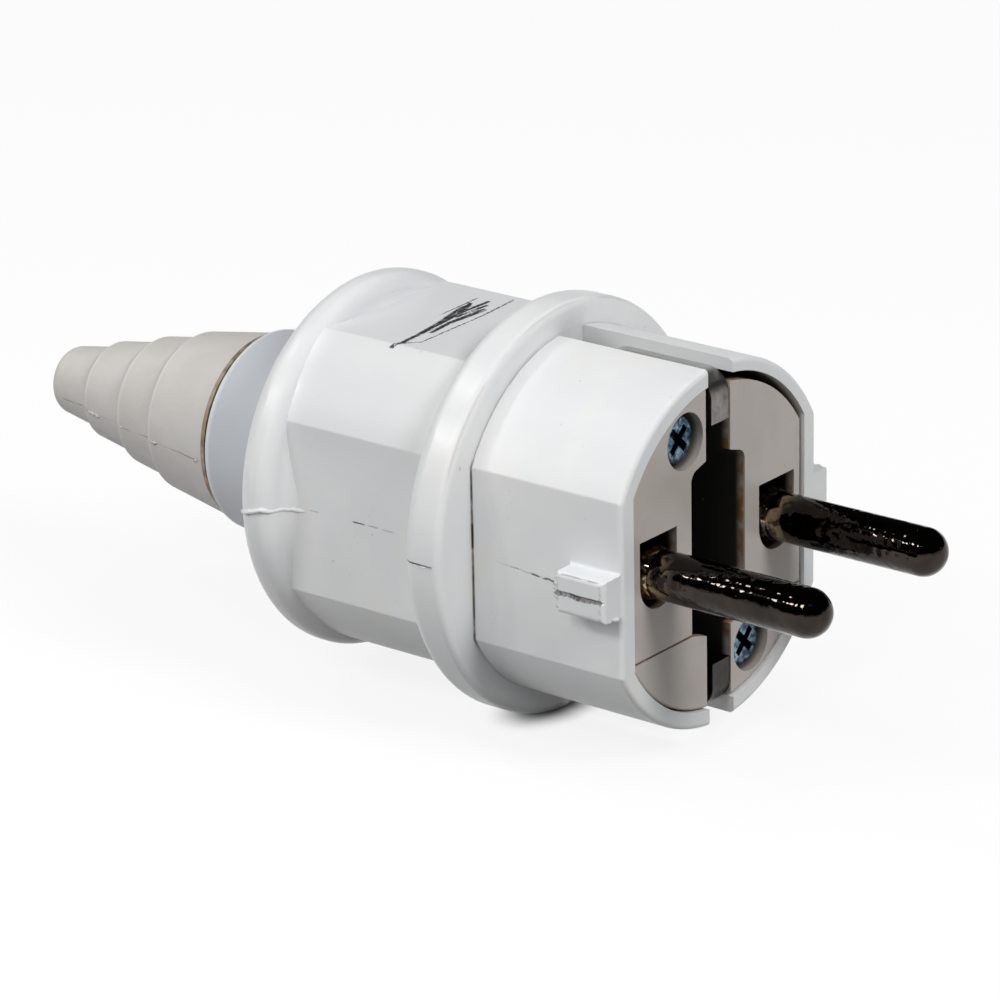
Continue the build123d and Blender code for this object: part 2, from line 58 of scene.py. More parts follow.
class Net:
    """A node tree, with short calls for the nodes that the surfaces and the world share."""

    def __init__(self, tree):
        self.tree = tree

    def node(self, kind, **settings):
        made = self.tree.nodes.new(kind)
        for key, value in settings.items():
            setattr(made, key, value)
        return made

    def join(self, value, socket):
        """Links a socket, or sets a constant."""
        if isinstance(value, bpy.types.NodeSocket):
            self.tree.links.new(value, socket)
        else:
            socket.default_value = value

    def math(self, operation, first, second=0.0, third=0.0):
        made = self.node("ShaderNodeMath", operation=operation)
        for value, socket in zip((first, second, third), made.inputs):
            self.join(value, socket)
        return made.outputs[0]

    def vector(self, operation, first, second=None, scale=None):
        made = self.node("ShaderNodeVectorMath", operation=operation)
        self.join(first, made.inputs[0])
        if second is not None:
            self.join(second, made.inputs[1])
        if scale is not None:
            self.join(scale, made.inputs["Scale"])
        return made.outputs["Value" if operation in ("LENGTH", "DOT_PRODUCT") else 0]

    def ramp(self, value, start, end, low=0.0, high=1.0, kind="LINEAR"):
        """Goes evenly from low to high as value goes from start to end."""
        made = self.node("ShaderNodeMapRange", interpolation_type=kind)
        for item, socket in zip((value, start, end, low, high), made.inputs):
            self.join(item, socket)
        return made.outputs[0]

    def step(self, value, start, end, low=0.0, high=1.0):
        """Goes smoothly from low to high as value goes from start to end."""
        return self.ramp(value, start, end, low, high, "SMOOTHSTEP")

    def band(self, value, middle, half_width, soft):
        """One within half_width of middle, and nothing beyond the soft edge."""
        away = self.math("ABSOLUTE", self.math("SUBTRACT", value, middle))
        return self.step(away, half_width + soft, half_width)

    def sway(self, noise, reach):
        """Noise as an offset to both sides of nothing."""
        return self.math("MULTIPLY", self.math("SUBTRACT", noise, 0.5), reach)

    def times(self, *values):
        result = values[0]
        for value in values[1:]:
            result = self.math("MULTIPLY", result, value)
        return result

    def most(self, *values):
        result = values[0]
        for value in values[1:]:
            result = self.math("MAXIMUM", result, value)
        return result

    def rest(self, value):
        """What a mask leaves out."""
        return self.math("SUBTRACT", 1.0, value)

    def blend(self, factor, first, second):
        """Mix of two numbers."""
        made = self.node("ShaderNodeMix", data_type="FLOAT")
        for value, socket in zip((factor, first, second), (made.inputs[0], *made.inputs[2:4])):
            self.join(value, socket)
        return made.outputs[0]

    def mix(self, factor, first, second):
        """Mix of two colours."""
        made = self.node("ShaderNodeMix", data_type="RGBA")
        self.join(factor, made.inputs[0])
        for value, socket in zip((first, second), made.inputs[6:8]):
            self.join(value if isinstance(value, bpy.types.NodeSocket) else (*value, 1.0), socket)
        return made.outputs[2]

    def choose(self, factor, first, second):
        """Mix of two shaders."""
        made = self.node("ShaderNodeMixShader")
        for value, socket in zip((factor, first, second), made.inputs):
            self.join(value, socket)
        return made.outputs[0]


class Surface(Net):
    """A material that knows the place in millimetres, with a colour to paint over and relief to add."""

    def __init__(self, name):
        self.material = bpy.data.materials.new(name)
        self.material.use_nodes = True
        super().__init__(self.material.node_tree)
        self.shader = self.tree.nodes["Principled BSDF"]
        metres = self.node("ShaderNodeTexCoord").outputs["Object"]
        self.place = self.vector("SCALE", metres, scale=1 / MM)
        parts = self.node("ShaderNodeSeparateXYZ")
        self.join(self.place, parts.inputs[0])
        self.x, self.y, self.z = parts.outputs
        self.color = None
        self.normal = None

    def stretch(self, factors):
        return self.vector("MULTIPLY", self.place, factors)

    def distance(self, middle, factors):
        """Distance from a point, with each axis stretched by its factor."""
        offset = self.vector("SUBTRACT", self.place, middle)
        return self.vector("LENGTH", self.vector("MULTIPLY", offset, factors))

    def noise(self, scale, detail=3.0, roughness=0.55, place=None):
        made = self.node("ShaderNodeTexNoise")
        self.join(self.place if place is None else place, made.inputs["Vector"])
        made.inputs["Scale"].default_value = scale
        made.inputs["Detail"].default_value = detail
        made.inputs["Roughness"].default_value = roughness
        return made.outputs[0]

    def paint(self, mask, color, strength=None):
        """Lays a colour over the colour so far."""
        factor = mask if strength is None else self.times(mask, strength)
        self.color = self.mix(factor, self.color, color)

    def emboss(self, height, depth):
        """Adds relief of the given depth in millimetres."""
        made = self.node("ShaderNodeBump")
        made.inputs["Distance"].default_value = depth * MM
        self.join(height, made.inputs["Height"])
        if self.normal is not None:
            self.join(self.normal, made.inputs["Normal"])
        self.normal = made.outputs[0]

    def finish(self, roughness, **constants):
        self.join(self.color, self.shader.inputs["Base Color"])
        self.join(roughness, self.shader.inputs["Roughness"])
        if self.normal is not None:
            self.join(self.normal, self.shader.inputs["Normal"])
        for key, value in constants.items():
            self.shader.inputs[key].default_value = value
        return self.material


# Materials

# Ranges of noise that a soft and a fine blend run over, and factors that stretch or leave out X
CLOUDS, SPREAD = (0.35, 0.68), (0.3, 0.75)
ALONG_X, ACROSS_X = (1.0, 0.1, 0.1), (0.0, 1.0, 1.0)

# In millimetres, a band is its middle, half width and soft edge, and a change is its start and end
SHELL_COOL, SHELL_PALE = (0.735, 0.755, 0.77), (0.785, 0.79, 0.79)
SHELL_WARM = (0.775, 0.76, 0.725)
# Painted shade on the barrel's top and on the neck, and a painted highlight on the neck's lip
BARREL_TOP_X, BARREL_TOP_Z, BARREL_TOP_SHADE = (-31.5, 6.5, 3.0), (3.0, 10.0), (0.62, 0.635, 0.645)
NECK_X, NECK_SHADE = (-45.6, -48.0), (0.535, 0.56, 0.60)
NECK_LIP_X, NECK_LIP_HIGHLIGHT = (-55.2, -55.7), (0.80, 0.84, 0.88)
SHELL_ROUGHNESS, CREST_POLISH = 0.43, -0.115
FRONT_CREST_X, FRONT_CREST_RADIUS = (-20.0, 2.2, 0.4), (18.6, 19.4)
REAR_CREST_X, REAR_CREST_RADIUS = (-42.6, 2.4, 0.8), (16.4, 17.6)

NOSE_HALF_WIDTH = 15.6
NOSE_ARC_RADIUS, NOSE_ARC_LIFT = 17.645, 0.455
NOSE_FOOT_X, NOSE_FOOT_GAP = (-17.6, 0.13, 0.05), (0.13, 0.03)
RING_EDGE_X, RING_EDGE_RADIUS = (-17.98, 0.03, 0.12), (19.8, 20.1)
NECK_EDGE_X = (-55.9, -56.06)
# Painted shade on the nose's inner faces: depth below its outline, and its front and back ends in X
INSIDE_GAP, INSIDE_FRONT_X, INSIDE_BACK_X = (-1.15, -1.45), (-0.35, -1.5), (-17.45, -17.3)
EARTH_GROOVE_Y = (2.1, 2.5)

LEFT_Y, RIGHT_Y = (-10.0, -11.0), (10.0, 11.0)
SEAM_LINE, NOSE_SEAM_LINE = (0.0, 0.045, 0.06), (0.0, 0.05, 0.07)
NOSE_SEAM_START, NOSE_SEAM_SLOPE, NOSE_SEAM_DROP = 14.4, 0.0583, 0.2
NOSE_SEAM_FADE_X, NOSE_SEAM_RING_X, NOSE_SEAM_LUG_X = (-14.6, -9.6), (-15.2, -14.4), (-5.9, -6.3)

LUG_SHIFT = 0.35
LUG_TIP_Y, LUG_LIMIT_X = (17.0, 17.3), (-7.0, -6.4)
LUG_NOTCH, LUG_NOTCH_X = (0.0, 0.20, 0.12), (-0.5, -0.65)
LUG_CORNER_X = (-0.72, 0.06, 0.16)
LUG_BACK_X, LUG_BACK_Z, LUG_BACK_GAP = (-6.05, 0.06, 0.16), (0.35, 0.45, 0.25), (-0.4, -0.1)

# Dark stretches of the mould seam on the photographed side: middle and half length along X, and strength
SEAM_DASHES = (
    (-20.35, 1.75, 0.8),
    (-20.6, 0.6, 1.0),
    (-31.6, 0.6, 0.9),
    (-29.8, 0.45, 0.4),
    (-28.0, 0.55, 0.35),
    (-37.2, 0.4, 0.3),
)
SEAM_DASH_SOFT = 0.25

# Worn streaks of black on the barrel's top: both ends in X and Y, and the reach to each side
PRINT_STROKES = (
    ((-32.1, -9.4), (-31.6, -8.4), 0.29),
    ((-31.6, -8.4), (-31.9, -5.0), 0.32),
    ((-31.9, -5.0), (-32.3, -2.0), 0.41),
    ((-32.3, -2.0), (-32.7, 1.2), 0.44),
    ((-32.6, 1.2), (-33.4, 3.8), 0.41),
    ((-31.3, -4.2), (-31.6, -1.0), 0.34),
    ((-31.6, -1.0), (-31.4, 4.0), 0.41),
    ((-32.5, -1.7), (-34.0, 4.8), 0.27),
    ((-32.1, -4.0), (-33.0, 2.8), 0.24),
    ((-32.2, 0.73), (-32.0, 5.2), 0.24),
    ((-32.7, 1.9), (-32.6, 6.2), 0.29),
    ((-33.0, 2.8), (-33.8, 4.6), 0.51),
    ((-33.9, 0.37), (-34.2, 6.6), 0.09),
    ((-31.5, -8.5), (-30.2, -7.1), 0.10),
    ((-30.2, -7.1), (-30.4, 2.8), 0.10),
    ((-30.4, 2.8), (-30.9, 8.1), 0.12),
)
PRINT_Z = (15.9, 16.05)
PRINT_CORE = 0.55


def stroke(net, start, end, reach, place, ragged):
    """Mask of one worn pen stroke between two points of X and Y."""
    a, b = Vector((*start, 0)), Vector((*end, 0))
    run = b - a
    offset = net.vector("SUBTRACT", place, tuple(a))
    share = net.math("DIVIDE", net.vector("DOT_PRODUCT", offset, tuple(run)), run.length_squared)
    nearest = net.vector("SCALE", tuple(run), scale=net.ramp(share, 0.0, 1.0))
    away = net.vector("LENGTH", net.vector("SUBTRACT", offset, nearest))
    return net.step(net.math("ADD", away, ragged), reach, reach * PRINT_CORE)


def nose_gap(net):
    """Distance outward from the outline of the nose's section."""
    side = net.math("SUBTRACT", net.math("ABSOLUTE", net.y), NOSE_HALF_WIDTH)
    lift = net.math("SUBTRACT", net.math("ABSOLUTE", net.z), NOSE_ARC_LIFT)
    away = net.math("SQRT", net.math("ADD", net.times(net.y, net.y), net.times(lift, lift)))
    return net.most(side, net.math("SUBTRACT", away, NOSE_ARC_RADIUS))


def make_seam(net):
    """Mask of the mould seam: placed dashes and a sloping line on the left, a broken line on the right."""
    left, right = net.step(net.y, *LEFT_Y), net.step(net.y, *RIGHT_Y)
    level = net.math("ADD", net.z, net.sway(net.noise(0.5, 2), 0.35))
    line = net.band(level, *SEAM_LINE)
    dashes = net.most(*[net.times(net.band(net.x, middle, half, SEAM_DASH_SOFT), strength)
                        for middle, half, strength in SEAM_DASHES])
    from_start = net.math("ADD", net.x, NOSE_SEAM_START)
    slope = net.math("MULTIPLY_ADD", from_start, NOSE_SEAM_SLOPE, NOSE_SEAM_DROP)
    on_nose = net.times(net.band(net.math("ADD", level, slope), *NOSE_SEAM_LINE),
                        net.step(net.x, *NOSE_SEAM_FADE_X, 0.1, 0.95),
                        net.step(net.x, *NOSE_SEAM_RING_X), net.step(net.x, *NOSE_SEAM_LUG_X))
    patchy = net.step(net.noise(1.1, 3, 0.6, net.stretch(ALONG_X)), 0.36, 0.5, 0.25, 1.0)
    broken = net.step(net.noise(0.42, 3, 0.6, net.stretch(ALONG_X)), 0.47, 0.6)
    return net.most(net.times(line, dashes, left), net.times(on_nose, patchy, left),
                    net.times(line, broken, right))


def paint_plain_shell(net):
    """White plastic with faint mottling, painted shade that greys the barrel top and makes the neck darker
    and cooler, and a painted highlight on the neck's lip.
    """
    net.color = net.mix(net.step(net.noise(0.09, 4), *CLOUDS), SHELL_COOL, SHELL_PALE)
    net.paint(net.step(net.noise(0.16, 3), 0.56, 0.74, 0.0, 0.5), SHELL_WARM)
    # Painted shade: the barrel's top greyed at half strength
    barrel_top_shade = net.times(net.band(net.x, *BARREL_TOP_X), net.step(net.z, *BARREL_TOP_Z))
    net.paint(barrel_top_shade, BARREL_TOP_SHADE, 0.5)
    # Painted shade that makes the neck darker and cooler, and a painted highlight, pale and bluish, on its
    # lip
    net.paint(net.step(net.x, *NECK_X), NECK_SHADE)
    net.paint(net.step(net.x, *NECK_LIP_X, 0.0, 0.6), NECK_LIP_HIGHLIGHT)


def paint_joints(net, gap, radius):
    """Grime at the nose's foot, the front ring's edge and the neck's end, and painted shade inside; gives
    the mask of all of these.
    """
    foot = net.times(net.band(net.x, *NOSE_FOOT_X), net.step(gap, *NOSE_FOOT_GAP))
    stained = net.step(net.noise(0.32, 4, 0.6), 0.36, 0.62, 0.15, 0.85)
    crevice = net.times(foot, stained, net.step(net.z, 10.0, 7.5, 0.12, 0.75),
                        net.step(net.z, -10.0, -8.6))
    crevice = net.most(crevice, net.times(foot, net.band(net.z, 1.8, 1.1, 0.5), 0.95))
    rust = net.mix(net.step(net.noise(0.6, 3), 0.42, 0.62), (0.085, 0.075, 0.07), (0.21, 0.125, 0.055))
    net.paint(crevice, rust)

    ring_edge = net.times(net.band(net.x, *RING_EDGE_X), net.step(radius, *RING_EDGE_RADIUS),
                          net.step(net.noise(0.12, 3, 0.6), 0.42, 0.6), net.step(net.z, 2.0, 8.0, 0.0, 0.3))
    net.paint(ring_edge, (0.42, 0.39, 0.35))
    neck_edge = net.times(net.step(net.x, *NECK_EDGE_X),
                          net.step(net.noise(0.55, 4), 0.36, 0.62, 0.3, 1.0))
    net.paint(neck_edge, (0.23, 0.145, 0.06), 0.8)
    # Painted shade: near black on the nose's inner faces, round the insert
    inside = net.times(net.step(gap, *INSIDE_GAP), net.step(net.x, *INSIDE_FRONT_X),
                       net.step(net.x, *INSIDE_BACK_X),
                       net.step(net.math("ABSOLUTE", net.y), *EARTH_GROOVE_Y))
    net.paint(inside, (0.012, 0.010, 0.009))
    return net.most(crevice, neck_edge, inside)


def paint_lugs(net, gap):
    """Wear on the lugs, a torn notch line on the tip and a crumbled front corner, and a darker patch on the
    nose behind each lug.
    """
    on_tip = net.step(net.math("ABSOLUTE", net.y), *LUG_TIP_Y)
    on_lug = net.step(net.x, *LUG_LIMIT_X)
    rising = net.math("MULTIPLY_ADD", net.math("SIGN", net.y), -LUG_SHIFT, net.z)
    shaken = net.math("MULTIPLY_ADD", net.math("SUBTRACT", net.noise(1.3, 3), 0.5), 0.35, rising)
    notch = net.times(net.band(shaken, *LUG_NOTCH), on_tip, net.step(net.x, *LUG_NOTCH_X))
    notch = net.times(notch, net.step(net.noise(0.9, 3), 0.34, 0.5, 0.5, 1.0))
    crumbled = net.step(net.noise(1.0, 3, 0.6), 0.46, 0.6)
    corner = net.times(net.band(net.x, *LUG_CORNER_X), on_tip, crumbled)
    # A darker patch on the nose's flat just behind the lug
    behind = net.times(net.band(net.x, *LUG_BACK_X), net.band(rising, *LUG_BACK_Z),
                       net.step(gap, *LUG_BACK_GAP),
                       net.step(net.noise(2.2, 3, 0.6), 0.36, 0.5, 0.3, 1.0))
    worn = net.times(net.most(notch, net.times(corner, 0.5), behind), on_lug)
    net.paint(worn, (0.15, 0.145, 0.14), 0.8)
    torn = net.times(notch, net.step(net.noise(2.6, 3, 0.6), 0.5, 0.6), on_lug)
    net.paint(torn, (0.04, 0.037, 0.035), 0.8)


def paint_print(net):
    """Smeared black streaks on the barrel's top."""
    level = net.stretch((1.0, 1.0, 0.0))
    ragged = net.sway(net.noise(3.2, 4, 0.7), 0.5)
    ink = net.most(*[stroke(net, start, end, reach, level, ragged) for start, end, reach in PRINT_STROKES])
    worn = net.step(net.noise(1.3, 5, 0.75, net.stretch((2.4, 0.4, 1.0))), 0.36, 0.47)
    net.paint(net.times(ink, worn, net.step(net.z, *PRINT_Z)), (0.014, 0.015, 0.022), 0.97)


def make_shell():
    """White moulded plastic: faint mottling, a mould seam, worn print, grime in the joints and specks, with
    painted shade on the barrel's top, on the neck and inside the nose, and a painted highlight on the
    neck's lip.
    """
    net = Surface("shell_plastic")
    fine = net.noise(0.9, 4, 0.55)
    gap = nose_gap(net)
    radius = net.vector("LENGTH", net.stretch(ACROSS_X))
    seam = make_seam(net)
    paint_plain_shell(net)
    net.paint(seam, (0.045, 0.04, 0.038), 0.92)
    dirt_and_shade = paint_joints(net, gap, radius)
    paint_lugs(net, gap)
    scatter = net.step(net.noise(0.25, 2), 0.5, 0.72)
    specks = net.times(net.step(net.noise(1.9, 1, 0.4), 0.745, 0.785), scatter)
    net.paint(specks, (0.25, 0.23, 0.21), 0.5)
    paint_print(net)

    net.emboss(net.noise(5.5, 2), 0.0008)
    net.emboss(fine, 0.0012)
    net.emboss(net.times(seam, -1.0), 0.06)
    front_crest = net.times(net.band(net.x, *FRONT_CREST_X), net.step(radius, *FRONT_CREST_RADIUS))
    rear_crest = net.times(net.band(net.x, *REAR_CREST_X), net.step(radius, *REAR_CREST_RADIUS))
    roughness = net.math("MULTIPLY_ADD", net.most(front_crest, rear_crest), CREST_POLISH, SHELL_ROUGHNESS)
    roughness = net.math("ADD", roughness, net.step(fine, *SPREAD, -0.02, 0.03))
    roughness = net.math("ADD", roughness, net.times(dirt_and_shade, 0.3))
    return net.finish(roughness, **{"Specular IOR Level": 0.5})


BOOT_TIER_ENDS = (-65.5, -71.1, -77.1)
# Painted highlight on each tier's rim and painted shade at its foot: offsets and widths in millimetres
BOOT_RIM_X, BOOT_RIM = 0.22, (0.12, 0.16)
BOOT_FOOT_LENGTH, BOOT_FOOT_SOFT = 1.1, 0.02
BOOT_SEAM_LINE, BOOT_SIDE_Y, BOOT_TIP_X = (-0.8, 0.035, 0.06), (2.0, 3.0), (-82.0, -81.0)
BOOT_JOINT_X = (-56.98, -56.88)
BOOT_JOINT_EDGES = ((-56.97, 0.03, 0.05), (-56.46, 0.05, 0.06))


def make_boot():
    """Warm grey rubber: matt, smooth, with a fine parting line and grime where it meets the neck, painted
    shade below the parting line and behind each tier's end, and painted light on its lower part and each
    tier's rim.
    """
    net = Surface("boot_rubber")
    fine = net.noise(1.6, 4, 0.6)
    net.color = net.mix(net.step(net.noise(0.16, 3, 0.5), 0.34, 0.68), (0.57, 0.55, 0.525),
                        (0.615, 0.60, 0.575))
    # Painted shade just below the parting line, then painted light, paler and pinker, towards the bottom
    net.paint(net.step(net.z, -0.6, -1.0, 0.0, 0.3), (0.55, 0.525, 0.53))
    net.paint(net.step(net.z, -1.0, -7.0, 0.0, 0.75), (0.66, 0.63, 0.63))
    sides = net.step(net.math("ABSOLUTE", net.y), *BOOT_SIDE_Y)
    line = net.band(net.math("ADD", net.z, net.sway(net.noise(0.6, 2), 0.4)), *BOOT_SEAM_LINE)
    patchy = net.step(net.noise(0.5, 3, 0.6, net.stretch(ALONG_X)), 0.42, 0.56, 0.15, 0.9)
    seam = net.times(line, sides, patchy, net.step(net.x, *BOOT_TIP_X))
    net.paint(seam, (0.16, 0.13, 0.11), 0.5)
    # Painted highlights on the tiers' rims and painted shade just behind each tier's end
    rim_highlights = net.most(*[net.band(net.x, end + BOOT_RIM_X, *BOOT_RIM) for end in BOOT_TIER_ENDS])
    foot_shade = net.most(*[net.times(net.step(net.x, end - BOOT_FOOT_LENGTH, end),
                                net.step(net.x, end + BOOT_FOOT_SOFT, end)) for end in BOOT_TIER_ENDS])
    net.paint(rim_highlights, (0.72, 0.71, 0.69), 0.4)
    net.paint(foot_shade, (0.47, 0.45, 0.43), 0.4)
    joint = net.step(net.x, *BOOT_JOINT_X)
    edge = net.most(*[net.band(net.x, *place) for place in BOOT_JOINT_EDGES])
    grime = net.step(net.noise(0.35, 3), 0.32, 0.6, 0.55, 1.0)
    ochre = net.mix(net.step(net.noise(0.7, 3), 0.4, 0.62), (0.33, 0.215, 0.085), (0.16, 0.10, 0.045))
    net.paint(net.times(joint, grime), ochre)
    net.paint(net.times(edge, grime), (0.06, 0.04, 0.025), 0.75)
    net.paint(net.step(net.noise(1.5, 2, 0.5), 0.75, 0.80), (0.3, 0.27, 0.23), 0.4)
    net.emboss(net.noise(6.0, 2), 0.008)
    net.emboss(fine, 0.03)
    net.emboss(net.times(seam, -1.0), 0.05)
    return net.finish(net.step(fine, *SPREAD, 0.45, 0.62), **{"Specular IOR Level": 0.4})


CARRIER_SCREWS = ((0.0, -5.2, 11.8), (0.0, 5.2, -11.8))
CARRIER_RECESS_RADIUS = (3.1, 2.95)
CARRIER_EDGE_X, CARRIER_SHADE_X = (-0.36, -0.6), (-0.65, -1.5)
CARRIER_JOINT_Z = (-8.0, 0.10, 0.10)


def make_carrier():
    """Beige-grey moulded insert: half gloss, brown at the edges of its openings, and painted shade, near
    black, deeper in.
    """
    net = Surface("carrier_plastic")
    fine = net.noise(1.4, 5, 0.6)
    net.color = net.mix(net.step(net.noise(0.14, 3), *CLOUDS), (0.44, 0.40, 0.37), (0.485, 0.445, 0.41))
    near_screw = net.most(*[net.step(net.distance(middle, ACROSS_X), *CARRIER_RECESS_RADIUS)
                            for middle in CARRIER_SCREWS])
    open_way = net.rest(near_screw)
    smudged = net.step(net.noise(0.45, 3), 0.38, 0.62, 0.2, 1.0)
    brown = net.times(net.step(net.x, *CARRIER_EDGE_X), open_way, smudged)
    line = net.times(net.band(net.z, *CARRIER_JOINT_Z), smudged)
    net.paint(net.most(brown, net.times(line, 0.8)), (0.25, 0.125, 0.04))
    # Painted shade: near black deeper in the openings, a little less round the screws
    deep_shade = net.times(net.step(net.x, *CARRIER_SHADE_X), net.math("MULTIPLY_ADD", open_way, 0.25, 0.75))
    net.paint(deep_shade, (0.006, 0.005, 0.004))
    net.paint(net.step(net.noise(1.2, 2, 0.5), 0.765, 0.80), (0.24, 0.20, 0.16), 0.4)
    net.emboss(net.noise(5.0, 2), 0.0015)
    net.emboss(fine, 0.004)
    roughness = net.math("ADD", net.step(fine, *SPREAD, 0.28, 0.36), net.times(deep_shade, 0.4))
    return net.finish(roughness, **{"Specular IOR Level": 0.5})


PIN_ROOT_X, PIN_SHADE_X = (3.2, 0.2), (-0.6, -2.2)


def make_pin_metal():
    """Dark polished plating with draw lines, pits and ripples that break its glints, worn brass at the root
    that also stands in as a painted glint, and painted shade where it runs inside.
    """
    net = Surface("pin_metal")
    drawn = net.noise(1.2, 4, 0.6, net.stretch((0.25, 3.0, 3.0)))
    pits = net.step(net.noise(1.5, 2, 0.5), 0.70, 0.76)
    net.color = net.mix(net.step(net.noise(0.3, 4, 0.6), 0.35, 0.7), (0.052, 0.043, 0.037),
                        (0.034, 0.030, 0.028))
    net.paint(pits, (0.012, 0.010, 0.009))
    # Worn brass at the root, lighter metal that also stands in as a painted glint
    worn_root_and_glint = net.times(net.step(net.x, *PIN_ROOT_X), net.step(net.noise(0.7, 3, 0.6), 0.42, 0.58))
    net.paint(worn_root_and_glint, (0.42, 0.33, 0.20))
    # Painted shade: near black where the pin runs into the insert
    net.paint(net.step(net.x, *PIN_SHADE_X), (0.008, 0.006, 0.005))
    net.emboss(net.noise(0.95, 1.2, 0.5), 0.075)
    net.emboss(drawn, 0.003)
    net.emboss(net.times(pits, -1.0), 0.03)
    roughness = net.math("ADD", net.step(drawn, *SPREAD, 0.03, 0.09), net.times(pits, 0.3))
    return net.finish(roughness, Metallic=1.0)


STRAP_LOW_SHADE_Z, STRAP_ARM_Z = (2.0, -6.0), (16.3, 16.7)
STRAP_SLOT_SHADE_X, STRAP_ARM_X = (-1.3, -4.5), (-1.6, -2.4)


def make_strap_metal():
    """Dull grey plated strip: stained, with painted shade on its lower half and where it runs into the
    slot, pale on its outer arms.
    """
    net = Surface("strap_metal")
    rolled = net.noise(2.0, 4, 0.6, net.stretch((0.6, 3.0, 0.6)))
    net.color = net.mix(net.step(net.noise(0.5, 4, 0.6), *CLOUDS), (0.19, 0.18, 0.172),
                        (0.28, 0.265, 0.255))
    net.paint(net.step(net.noise(0.8, 4, 0.6), 0.52, 0.72), (0.13, 0.095, 0.065), 0.7)
    # Painted shade: near black towards the bottom
    net.paint(net.step(net.z, *STRAP_LOW_SHADE_Z, 0.0, 0.9), (0.03, 0.028, 0.027))
    outer = net.step(net.math("ABSOLUTE", net.z), *STRAP_ARM_Z)
    # Painted shade: near black where it runs into the slot, but not on the outer arms
    net.paint(net.times(net.step(net.x, *STRAP_SLOT_SHADE_X), net.rest(outer)), (0.01, 0.008, 0.007))
    net.paint(net.times(net.step(net.x, *STRAP_ARM_X), outer), (0.62, 0.62, 0.61))
    net.emboss(rolled, 0.02)
    return net.finish(net.step(rolled, *SPREAD, 0.3, 0.5), Metallic=1.0)


SCREW_SHADE_X = (-3.2, -5.0)


def make_zinc():
    """Bluish passivated zinc with light and dark patches, and painted shade where it runs inside."""
    net = Surface("screw_zinc")
    fine = net.noise(4.0, 4, 0.6)
    net.color = net.mix(net.step(net.noise(0.9, 4, 0.6), *CLOUDS), (0.05, 0.11, 0.17), (0.24, 0.37, 0.46))
    net.paint(net.step(net.noise(1.6, 3, 0.6), 0.44, 0.6), (0.012, 0.026, 0.045), 0.9)
    # Painted shade: near black where the screw runs deep
    net.paint(net.step(net.x, *SCREW_SHADE_X), (0.02, 0.02, 0.02))
    net.emboss(fine, 0.04)
    return net.finish(net.step(fine, *SPREAD, 0.12, 0.26), Metallic=1.0)


MATERIALS = {
    "shell_plastic": make_shell(),
    "boot_rubber": make_boot(),
    "carrier_plastic": make_carrier(),
    "pin_metal": make_pin_metal(),
    "strap_metal": make_strap_metal(),
    "screw_zinc": make_zinc(),
}
for part in frame["record"]["subparts"]:
    piece = nodes[part["node"]]
    piece.data.materials.clear()
    piece.data.materials.append(MATERIALS[part["material_slot"]])


# Moulding flash, in millimetres

def add_piece(name, corners, faces, slot):
    """Mesh piece of the plug, from corners in millimetres."""
    mesh = bpy.data.meshes.new(name)
    mesh.from_pydata([Vector(corner) * MM for corner in corners], [], faces)
    mesh.validate()
    mesh.update()
    for face in mesh.polygons:
        face.use_smooth = True
    piece = bpy.data.objects.new(name, mesh)
    bpy.context.scene.collection.objects.link(piece)
    mesh.materials.append(MATERIALS[slot])
    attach(piece, "root")


def sweep(name, rings, slot):
    """Closed strip through rings of corners, all with the same count."""
    count = len(rings[0])
    corners = [corner for ring in rings for corner in ring]
    faces = [tuple(range(count))[::-1]]
    for row in range(len(rings) - 1):
        a = row * count
        for k in range(count):
            n = (k + 1) % count
            faces.append((a + k, a + n, a + count + n, a + count + k))
    faces.append(tuple(range((len(rings) - 1) * count, len(rings) * count)))
    add_piece(name, corners, faces, slot)


def along(points, step):
    """Points at equal steps along a line of straight runs."""
    places = []
    for first, last in zip(points, points[1:]):
        first, last = Vector(first), Vector(last)
        count = max(1, round((last - first).length / step))
        places += [first.lerp(last, index / count) for index in range(count)]
    return places + [Vector(points[-1])]


def ridge(place, foot, outward, across, width, lift, shoulder, lean=Vector()):
    """Section of a ridge from foot to foot over its crest; shoulder is its share of the width and lift."""
    wide, high = shoulder
    return [foot + across * width, place + across * width * wide + outward * lift * high,
            place + lean + outward * lift, place - across * width * wide + outward * lift * high,
            foot - across * width]


RAY_START = 40
FLASH_STEP, FLASH_SUNK, FLASH_WOBBLE, FLASH_SHOULDER = 0.25, 0.08, 0.06, (0.55, 0.75)
FLASH_RISE, FLASH_LEAST, FLASH_CHANGE = 0.7, 0.35, 0.3
FLASH_END_LIFT, FLASH_END_WIDTH = 0.05, 0.4
FLASH_LEAST_WIDTH, FLASH_WIDTH_GAIN = 0.7, 0.5


def flash_line(name, node, side, points, half_width, height, slot, seed, step):
    """Ragged ridge of flash on a node's -Y or +Y side, through points of X and Z."""
    chance = random.Random(seed)
    places = along(points, step)
    rings, rise = [], FLASH_RISE
    for index, (x, z) in enumerate(places):
        start, towards = Vector((x, side * RAY_START, z)) * MM, Vector((0, -side, 0))
        hit, place, normal, _ = nodes[node].ray_cast(start, towards)
        if not hit:
            continue
        rise = min(1.0, max(FLASH_LEAST, rise + chance.uniform(-FLASH_CHANGE, FLASH_CHANGE)))
        at_end = index in (0, len(places) - 1)
        lift = height * (FLASH_END_LIFT if at_end else rise)
        share = FLASH_END_WIDTH if at_end else FLASH_LEAST_WIDTH + FLASH_WIDTH_GAIN * rise
        spread = half_width * share
        base = place / MM + Vector((0, 0, chance.uniform(-FLASH_WOBBLE, FLASH_WOBBLE)))
        across = normal.cross(Vector((1, 0, 0))).normalized()
        rings.append(ridge(base, base - normal * FLASH_SUNK, normal, across, spread, lift, FLASH_SHOULDER))
    sweep(name, rings, slot)


